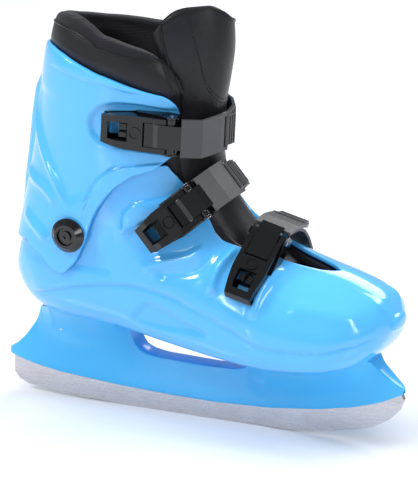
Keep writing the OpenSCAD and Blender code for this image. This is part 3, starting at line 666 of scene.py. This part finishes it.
def build_shell():
    """The foot shell, open along the instep and closed at the toe."""
    outer, inner = foot_grid(0, SHELL_STATIONS, shell_relief), foot_grid(-SHELL_WALL, SHELL_STATIONS)
    sharp = outer.copy()
    outer, inner = round_edges(outer, inner, RIM_RADIUS, False)
    closed = SHELL_STATIONS <= THROAT_START
    outer[closed] = sharp[closed]
    outer = np.concatenate([toe_cap_rows(outer[0], TOE_TIP), outer])
    inner = np.concatenate([toe_cap_rows(inner[0], TOE_TIP_INNER), inner])
    tips = np.stack([TOE_TIP, TOE_TIP_INNER])
    # The shell's inner faces get the darker blue, painted shade
    obj = solid_sheet("foot_shell", outer, inner, shell_blue, inner_blue_painted_shade, tips)
    paint_near(obj, inner)
    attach(obj, "boot")
    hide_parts("lower_shell")


# ---------------------------------------------------------------- cuff

# Stations of the cuff's lower and upper edge by angle, and the angle of its front edge by station
CUFF_FRONT = 40
cuff_low = curve([[CUFF_FRONT, 12.1], [52, 11.85], [68, 12.05], [76, 11.9], [83, 11.45], [88, 10.6],
                  [96, 10.12], [105, 10.02], [110, 10.4], [114, 11], [130, 11.6], [180, 12.1]], 2.5)
cuff_top = curve([[CUFF_FRONT, 13.7], [41, 14], [43, 14.35], [47, 14.7], [52, 14.95], [70, 15.42], [95, 16],
                  [118, 16.42], [135, 16.6], [150, 16.58], [180, 16.3]], 1.5)
cuff_edge = curve([[11, 48], [11.9, 50], [12.4, 42], [13, 40], [15, 40], [16, 44]], 0.2)
# Share of the spine's height by station
spine_rows = curve([[12.3, 0], [13.3, 0.75], [14.6, 1], [15.2, 0.9], [15.6, 0]], 0.12)
SPINE_HEIGHT, SPINE_HALF = 6, 17
CUFF_RIM = 1.3

# Lines of the relief, seen from the side (x, z)
OVAL = [(6, 222), (-10, 225), (-30, 228), (-47, 227), (-59, 221), (-64, 212), (-60, 202), (-48, 198),
        (-30, 196), (-10, 194), (6, 192)]
FRONT_BAND = [(-12, 188), (-30, 185), (-49, 180), (-61, 169), (-67, 155), (-66, 144)]
REAR_RIDGE = [(-112, 232), (-113, 212), (-109, 196), (-100, 180), (-89, 163), (-80, 148)]
LOW_RIDGE = [(-124, 168), (-112, 163), (-100, 159), (-88, 150)]
LAST_RIDGE = [(-122, 139), (-108, 131), (-95, 123)]
TOP_STEP = [(-100, 246), (-84, 245), (-60, 241), (-38, 237), (-22, 234)]


def cuff_relief(p, angle):
    """Relief of the cuff, alike on both sides except for the buckle's dish. It fades out along the back."""
    xz = p[..., [0, 2]]
    flank = smooth((168 - folded(angle)) / 16)
    lines = (crease(xz, FRONT_BAND, height=1.1, width=14, ends=0.08)
             + crease(xz, REAR_RIDGE, height=-0.9, width=20, ends=0.1)
             + ridge(xz, REAR_RIDGE, height=1.0, width=3)
             + ridge(xz, LOW_RIDGE, height=1.2, width=3.5)
             + ridge(xz, LAST_RIDGE, height=1.0, width=3.5)
             + crease(xz, TOP_STEP, height=0.8, width=12, ends=0.25))
    dish = np.where(p[..., 1] < 0, plateau(xz, OVAL, height=1.4, edge=1.8), 0)
    return RELIEF * (lines - dish) * flank


def build_cuff():
    """The cuff, with the raised spine down its back."""
    columns = CUFF_FRONT + (360 - 2 * CUFF_FRONT) * rim_steps(count=230, length=300)
    g = rim_steps(count=110, length=95)[:, None]
    c = folded(columns)[None, :]
    s = cuff_low(c) * (1 - g) + cuff_top(c) * g
    angle = 180 + (columns[None, :] - 180) * (180 - cuff_edge(s)) / (180 - CUFF_FRONT)
    plain = form(s, angle, CUFF_OUT)
    spine = SPINE_HEIGHT * np.maximum(0, 1 - ((angle - 180) / SPINE_HALF) ** 4) * spine_rows(s)
    outer = form(s, angle, CUFF_OUT + spine + cuff_relief(plain, angle))
    inner = form(s, angle, CUFF_IN)
    outer, inner = round_edges(outer, inner, CUFF_RIM, True)
    # The cuff's inner faces get the darker blue, painted shade
    obj = solid_sheet("cuff_shell", outer, inner, cuff_blue, inner_blue_painted_shade)
    paint_near(obj, inner)
    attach(obj, "cuff")
    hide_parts("cuff")


# ---------------------------------------------------------------- blade holder

# Heights of the rail's underside and of the holder's top, and half its width at the top, all by x
holder_low = curve([[-146, 25.5], [-125, 21.5], [-105, 18.5], [-60, 15.5], [-20, 14.2], [10, 14], [50, 15.8],
                    [85, 20], [110, 25], [130, 31], [146, 38]], 4)
holder_high = curve([[-146, 29], [-140, 33], [-132, 41], [-124, 52], [-117, 66], [-100, 70], [-58, 68],
                     [-53.5, 64], [-50, 49], [-46, 43.5], [-40, 41], [-30, 39.6], [8, 38.8], [24, 39.5],
                     [33, 42], [38.2, 49], [40, 60], [44, 62], [60, 62], [85, 62], [108, 62], [124, 61],
                     [130, 54], [138, 47], [146, 41]], 1.0)
tower_width = curve([[-122, 7.5], [-116, 14], [-108, 21.5], [-95, 26], [-84, 27], [-72, 26], [-60, 20],
                     [-54, 13], [-50, 7.5], [36, 7.5], [40, 13], [48, 21], [62, 26], [82, 27], [100, 25],
                     [112, 20], [121, 13], [128, 7.5]], 2.5)
RAIL_HALF, RUNNER_HALF, RUNNER_INSET, RUNNER_GAP = 7.5, 1.8, 7.0, 0.05
RAIL_FLAT, RAIL_ROUND = 0.86, 1.6
SOLE_BITE, TOP_ROUND = 0.8, 0.8
NOSE_START, NOSE_LENGTH, NOSE_LEAST = 118, 29, 0.12
LEAST_HEIGHT, SLOT_ROOF = 3, 1.4
CROWN, CROWN_REACH = 3, 20
# Ends of the holder's parts along x, with the number of sections across each
HOLDER_SPANS = [(-145.5, -112, 40), (-112, -46, 60), (-46, 30, 24), (30, 46, 36), (46, 112, 40),
                (112, 145.5, 40)]


def sole_height(x, y):
    """Height of the foot shell's sole over x and y."""
    table = np.array([[spline(STATIONS, np.array(s))[2], s] for s in np.arange(10.5, 0.4, -0.1)])
    rise_x = 0
    for _ in range(3):
        r = spline(STATIONS, np.interp(x - rise_x, table[:, 0], table[:, 1]))
        v = np.clip(np.abs(y - r[..., 8]) / r[..., 4], 0, 0.985)
        rise = r[..., 5] * (1 - (1 - v ** r[..., 7]) ** (1 / r[..., 7]))
        rise_x = (r[..., 0] - r[..., 2]) * rise
    return r[..., 3] + (r[..., 1] - r[..., 3]) * rise


def holder_sections(xs):
    """Closed loops of points around the holder at the places xs."""
    low = holder_low(xs)
    high = np.maximum(holder_high(xs), low + LEAST_HEIGHT)
    past = np.maximum(np.abs(xs) - NOSE_START, 0) / NOSE_LENGTH
    nose = np.sqrt(np.maximum(1 - past ** 2, NOSE_LEAST))
    rail = RAIL_HALF * nose
    wide = np.maximum(tower_width(xs) * nose, rail)
    slot = RUNNER_HALF + RUNNER_GAP
    slot_top = low + np.minimum(RUNNER_INSET, high - low - SLOT_ROOF) + RUNNER_GAP
    crown = CROWN * ((wide - rail) / CROWN_REACH) ** 2
    # Half a section as (y, z), from the slot's mouth out to the rail's side and up to the top's middle
    half = [(slot + (rail * RAIL_FLAT - slot) * g, low) for g in (0, 0.5, 1)]
    for turn in np.radians([30, 60, 90]):
        share = RAIL_FLAT + (1 - RAIL_FLAT) * math.sin(turn)
        half.append((rail * share, low + RAIL_ROUND * (1 - math.cos(turn))))
    foot = low + RAIL_ROUND
    flare_top = np.minimum(high + crown, sole_height(xs, wide) + SOLE_BITE)
    for g in np.linspace(0.06, 1, 18):
        half.append((rail + (wide - rail) * (0.92 * g ** 2.6 + 0.08 * g), foot + (flare_top - foot) * g))
    for g in (0.985, 0.95, 0.88, 0.75, 0.5, 0.25):
        top = high + crown * g * g + TOP_ROUND * np.sqrt(1 - g * g)
        half.append((wide * g, np.minimum(top, sole_height(xs, wide * g) + SOLE_BITE)))
    middle = (0, np.minimum(high + TOP_ROUND, sole_height(xs, 0) + SOLE_BITE))
    loop = [(-y, z) for y, z in half] + [middle] + half[::-1] + [(slot, slot_top), (-slot, slot_top)]
    return np.stack([np.stack(np.broadcast_arrays(xs, y, z), -1) for y, z in loop], 1)


def build_holder():
    """The blade holder: a rail with the runner's slot, and two towers that flare out under the sole."""
    grid = holder_sections(np.unique(np.concatenate([np.linspace(*span) for span in HOLDER_SPANS])))
    index, faces = loop_faces(*grid.shape[:2])
    faces += [index[0].tolist(), index[-1][::-1].tolist()]
    obj = add_mesh("holder", grid.reshape(-1, 3), faces, holder_blue)
    sharp_by_angle(obj, 50)
    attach(obj, "boot")
    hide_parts("blade_holder")


def sharp_by_angle(obj, degrees):
    """Keeps edges sharper than the angle unsmoothed."""
    bm = bmesh.new()
    bm.from_mesh(obj.data)
    for edge in bm.edges:
        edge.smooth = len(edge.link_faces) == 2 and edge.calc_face_angle(0) < math.radians(degrees)
    bm.to_mesh(obj.data)
    bm.free()


# ---------------------------------------------------------------- liner

LINER_TOP_RING = 11
LINER_WALL = 6
LINER_BAND = 9
LINER_RIM = 2.9
SOFT_PAINT = 0.6

# By station: the angle of the throat's edge, the outer surface's offset, and the wall. By stations above the
# cuff's edge: the most that the collar is offset. By angle: the collar's top edge
liner_edge = curve([[0, 0], [THROAT_START, 0], [3.6, 6], [4, 8], [5, 11], [6, 17], [7, 25], [8.3, 28],
                    [10, 30], [11, 33], [12, 34], [16, 34], [18, 38]], 0.2)
liner_off = curve([[0, -4.1], [13, -4.1], [14, -0.5], [14.6, 0.8], [15, 3.6]], 0.2)
liner_rise = curve([[-0.2, 0.8], [0.3, 3.2], [1, 3.8], [2, 2]], 0.12)
liner_thick = curve([[0, LINER_WALL], [13, LINER_WALL], [14.5, 7], [16, 9.5], [18.4, 9.5]], 0.3)
collar_top = curve([[34, 15.5], [38, 16.1], [44, 16.5], [50, 16.75], [60, 17], [75, 17.25], [90, 17.55],
                    [102, 18], [115, 18.25], [130, 18.35], [150, 18.3], [180, 17.9], [200, 17.5], [230, 17.1],
                    [270, 16.85], [310, 16.7], [318, 16.4], [322, 16.0], [326, 15.4]], 3)


def add_trim(name, lines, radius):
    """Piping or stitches on a soft piece that bends between the boot and the cuff."""
    obj = piped(name, lines, radius, piping)
    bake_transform(obj)


def liner_grid():
    """Stations and angles of the liner's points, in rows from the toe back and up to the collar's edge."""
    low_rows = np.concatenate([np.linspace(0.02, THROAT_START, 20), np.linspace(3.35, LINER_TOP_RING, 60)])
    rows = []
    for s in low_rows:
        angles = even_angles(s, float(liner_edge(s)), count=110, radius=4)
        rows.append((np.full_like(angles, s), angles))
    columns = rows[-1][1]
    for g in rim_steps(count=70, length=95, radius=4)[1:]:
        s = LINER_TOP_RING + (collar_top(columns) - LINER_TOP_RING) * g
        rows.append((s, 180 + (columns - 180) * (180 - liner_edge(s)) / (180 - columns[0])))
    return np.stack([row[0] for row in rows]), np.stack([row[1] for row in rows])


def liner_trim(outer, s, from_top, band):
    """Lines of piping: one along the lower edge of the collar's band, two down each side of the throat."""
    seam = [column[np.argmin(np.abs(gap - wide))]
            for column, gap, wide in zip(outer.swapaxes(0, 1), from_top.T, band[-1])]
    upper = slice(np.argmin(np.abs(s[:, 0] - 13.5)), -2)
    return [np.array(seam)[3:-3]] + [outer[upper, k] for k in (4, 7, -5, -8)]


def build_liner():
    """The inner boot: leather outside, with a knitted lining that turns over at the collar as a band."""
    s, a = liner_grid()
    off = np.minimum(liner_off(s), liner_rise(s - cuff_top(folded(a))))
    outer = form(s + toe_setback(s, off), a, off)
    inner = form(s + toe_setback(s, off - LINER_WALL), a, off - liner_thick(s))
    sharp = outer.copy()
    outer, inner = round_edges(outer, inner, LINER_RIM, False)
    closed = s[:, 0] <= THROAT_START
    outer[closed] = sharp[closed]
    tips = np.stack([outer[0].mean(axis=0), inner[0].mean(axis=0)])
    obj = solid_sheet("liner", outer, inner, black_leather, lining, tips)
    _, from_top = run_lengths(outer, 0)
    band = LINER_BAND * smooth((folded(a) - 38) / 30)
    paint_near(obj, np.vstack([inner.reshape(-1, 3), outer[from_top < band]]), SOFT_PAINT)
    add_trim("liner_piping", liner_trim(outer, s, from_top, band), radius=0.9)
    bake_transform(obj)
    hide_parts("liner_foot", "liner_collar")


# ---------------------------------------------------------------- tongue

# Each row: a point of the tongue's ridge (x, z), how deep its sides curl back, and its half width
TONGUE = np.array([
    [70, 115, 8, 14],
    [59, 122, 9, 17],
    [46, 130, 11, 20],
    [34, 141, 14, 23],
    [22, 157, 18, 25],
    [13, 177, 22, 26],
    [11.5, 198, 26, 27],
    [13, 219, 31, 28],
    [16.5, 238, 36, 29],
    [19.5, 258, 42, 31],
    [19.5, 275, 46, 31],
    [18, 287, 46, 30],
    [16, 297, 44, 28]])
TONGUE_WALL, TONGUE_RIM = 7, 3.4
TONGUE_START = 0.3
# The row of the top edge by angle, from one side to the other
TONGUE_SIDE = 88
tongue_top = curve([[-TONGUE_SIDE, 10.2], [-82, 10.9], [-75, 11.4], [-66, 11.75], [-55, 11.85], [-25, 11.6],
                    [-12, 11.2], [0, 10.7], [15, 10.4], [60, 10.2], [76, 10], [TONGUE_SIDE, 9.5]], 6)
# The seam as (row, angle), with a line of stitches on either side of it
TONGUE_SEAM = [(11.3, -55.5), (10, -51.5), (8.94, -47), (8.2, -41), (7.74, -30), (7.35, -10), (7.25, 10),
               (7.25, 40)]
SEAM_HALF = 0.07


def tongue_point(s, angle, inward):
    """Points of the tongue by row and angle, 0 along its ridge. Inward is the depth in mm under its outer
    surface at the ridge, and 0.6 of it at the sides."""
    s, angle, inward = np.broadcast_arrays(*(np.asarray(v, float) for v in (s, angle, inward)))
    last = len(TONGUE) - 1
    r = spline(TONGUE, s)
    ahead, behind = spline(TONGUE, np.minimum(s + 0.3, last)), spline(TONGUE, np.maximum(s - 0.3, 0))
    along = ahead[..., :2] - behind[..., :2]
    back = np.stack([-along[..., 1], along[..., 0]], -1) / np.linalg.norm(along, axis=-1, keepdims=True)
    depth = inward + (r[..., 2] - inward) * (1 - np.cos(np.radians(angle)))
    half = (r[..., 3] - inward * 0.6) * np.sin(np.radians(angle))
    return np.stack([r[..., 0] + back[..., 0] * depth, half, r[..., 1] + back[..., 1] * depth], -1)


def build_tongue():
    """The padded tongue, with its piping and its double row of stitches."""
    a = -TONGUE_SIDE + 2 * TONGUE_SIDE * rim_steps(count=60, length=90, radius=6)[None, :]
    s = TONGUE_START + (tongue_top(a) - TONGUE_START) * rim_steps(count=110, length=230, radius=6)[:, None]
    outer, inner = tongue_point(s, a, 0.0), tongue_point(s, a, TONGUE_WALL)
    outer, inner = round_edges(outer, inner, TONGUE_RIM, True)
    obj = solid_sheet("tongue", outer, inner, tongue_leather, lining)
    paint_near(obj, inner, SOFT_PAINT)
    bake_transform(obj)
    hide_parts("tongue_lower", "tongue_upper")
    sides = slice(40, -4)
    edges = [outer[sides, 4], outer[-5, 4:-4], outer[sides, -5]]
    add_trim("tongue_piping", edges, radius=1.0)
    rows = rounded_line(TONGUE_SEAM)
    seams = [tongue_point(rows[:, 0] + shift, rows[:, 1], -0.1) for shift in (-SEAM_HALF, SEAM_HALF)]
    stitches = [piece for line in seams for piece in stitched(line)]
    add_trim("tongue_stitches", stitches, radius=0.35)


# ---------------------------------------------------------------- CAD pieces that stay

def dress(names, material, bevel=0.0):
    """Gives CAD nodes their material and, if asked, a small bevel in mm on their sharper edges."""
    for name in names:
        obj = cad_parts[name]
        obj.data.materials.clear()
        obj.data.materials.append(material)
        for poly in obj.data.polygons:
            poly.use_smooth = True
        if bevel:
            mod = obj.modifiers.new("soft_edges", "BEVEL")
            mod.width = bevel * MM
            mod.segments = 3
            mod.limit_method = "ANGLE"
            mod.angle_limit = math.radians(30)
            mod.harden_normals = True
            mod.use_clamp_overlap = True


BUCKLES = ("ankle", "instep", "toe")


def dress_cad():
    """Materials and bevels of the pieces that keep their CAD meshes."""
    dress(["runner"], blade_steel, 0.35)
    dress(["footbed"], footbed_knit)
    dress(["pivot_caps"], black_gloss, 0.5)
    dress(["pivot_bushings"], black_gloss)
    dress(["cuff_eyelets"], cuff_blue)
    dress(["runner_nuts", "runner_bolts", "holder_screws", "pivot_nuts"], screw_steel, 0.15)
    dress(["pivot_screws"], black_gloss, 0.2)
    for b in BUCKLES:
        dress([b + "_base"], black_gloss, 0.3)
        dress([b + "_lever", b + "_link"], black_gloss, 0.5)
        dress([b + "_arm", b + "_pawl"], strap_grey, 0.8)
        dress([b + "_ladder"], ladder_grey, 0.25)
        small_steel = ("_rivets", "_lever_pin", "_link_pin", "_pawl_pin", "_ladder_screw")
        dress([b + part for part in small_steel], screw_steel, 0.15)


# ---------------------------------------------------------------- floor and world

FLOOR_HALF = 3.0


def build_floor():
    """A pale floor with a faint reflection."""
    mat, tree, shader = new_material("floor", roughness=0.16, ior=1.35)
    varied(tree, shader, noise(tree, scale=3, detail=2), (0.86, 0.87, 0.90), 0.02)
    corners = [[x * FLOOR_HALF, y * FLOOR_HALF, 0] for x, y in ((-1, -1), (1, -1), (1, 1), (-1, 1))]
    floor = add_mesh("floor", corners, [(0, 1, 2, 3)], mat, smooth_shading=False, metres=True)


def build_world():
    """A white studio: bright behind the object, and softer as a light on it."""
    world = bpy.data.worlds.new("studio")
    bpy.context.scene.world = world
    world.use_nodes = True
    tree = world.node_tree
    soft = tree.nodes["Background"]
    soft.inputs["Color"].default_value = (0.93, 0.96, 1.0, 1)
    soft.inputs["Strength"].default_value = 0.38
    bright = tree.nodes.new("ShaderNodeBackground")
    bright.inputs["Strength"].default_value = 1.0
    rays = tree.nodes.new("ShaderNodeLightPath")
    mix = tree.nodes.new("ShaderNodeMixShader")
    tree.links.new(rays.outputs["Is Camera Ray"], mix.inputs["Fac"])
    tree.links.new(soft.outputs["Background"], mix.inputs[1])
    tree.links.new(bright.outputs["Background"], mix.inputs[2])
    tree.links.new(mix.outputs["Shader"], tree.nodes["World Output"].inputs["Surface"])
    bpy.context.scene.view_settings.view_transform = "Standard"


add_camera()
build_world()
add_area("key", place=(-1.3, -1.0, 1.5), target=(0, 0, 0.14), size=(0.45, 0.45), power=20)
add_area("fill", place=(1.5, -0.9, 0.9), target=(0, 0, 0.12), size=(0.4, 1.0), power=9)
add_area("streak", place=(-0.9, -1.9, 0.9), target=(0, 0, 0.15), size=(0.06, 1.2), power=4)
add_area("rim", place=(0.3, 1.4, 1.2), target=(0, 0, 0.15), size=(1.2, 0.6), power=12)
add_area("overhead", place=(0.1, -0.1, 2.0), target=(0, 0, 0), size=(1.6, 1.6), power=34, glossy=False)
build_shell()
build_cuff()
build_holder()
build_liner()
build_tongue()
dress_cad()
build_floor()
